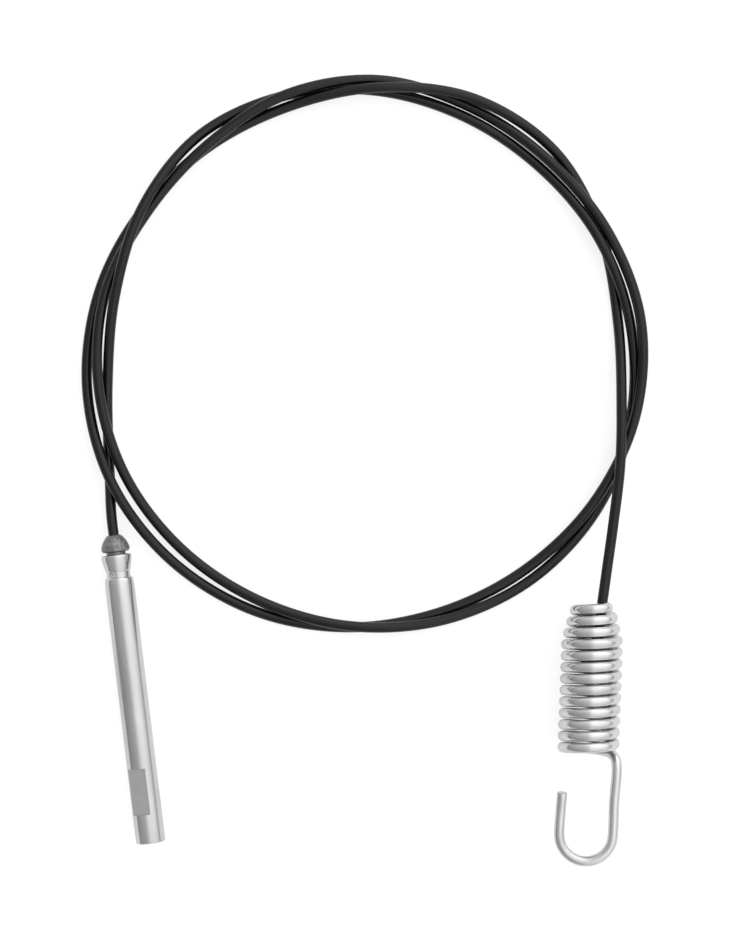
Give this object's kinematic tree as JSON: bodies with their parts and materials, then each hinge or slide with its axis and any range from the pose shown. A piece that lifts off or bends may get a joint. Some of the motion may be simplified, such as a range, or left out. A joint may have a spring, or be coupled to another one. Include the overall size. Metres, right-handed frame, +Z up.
{
  "type": "drive engagement cable",
  "caption": "Jacketed wire rope in a loose coil, with a steel adjuster tube on a swivel ferrule at one end and a hooked extension spring at the other.",
  "frame": {"origin": "on the table, under the middle of the box that the tube, both ferrules and the spring fill", "axes": "+Z up from the table, +Y along the adjuster tube towards the cable, +X from the tube towards the spring"},
  "size_m": [0.1843, 0.2627, 0.02],
  "materials": {
    "tube_steel": "zinc-plated, smooth",
    "cast_zinc": "die-cast, mottled",
    "jacket": "satin",
    "spring_steel": "bright zinc-plated wire",
    "ferrule_zinc": "plain cast"
  },
  "bodies": {
    "cable": {"cable": "jacket", "swivel_ferrule": "cast_zinc", "stop_ferrule": "ferrule_zinc"},
    "adjuster": {"adjuster_tube": "tube_steel"},
    "spring": {"hook_spring": "spring_steel"}
  },
  "joints": [
    {"name": "tube_swivel", "type": "hinge", "parent": "cable", "child": "adjuster", "pos_m": [-0.0771, 0.0558, 0.00485], "axis": [0, 1, 0], "continuous": true},
    {"name": "spring_slide", "type": "slide", "parent": "cable", "child": "spring", "axis": [0.2571, 0.9664, 0], "range_m": [0, 0.018]}
  ]
}
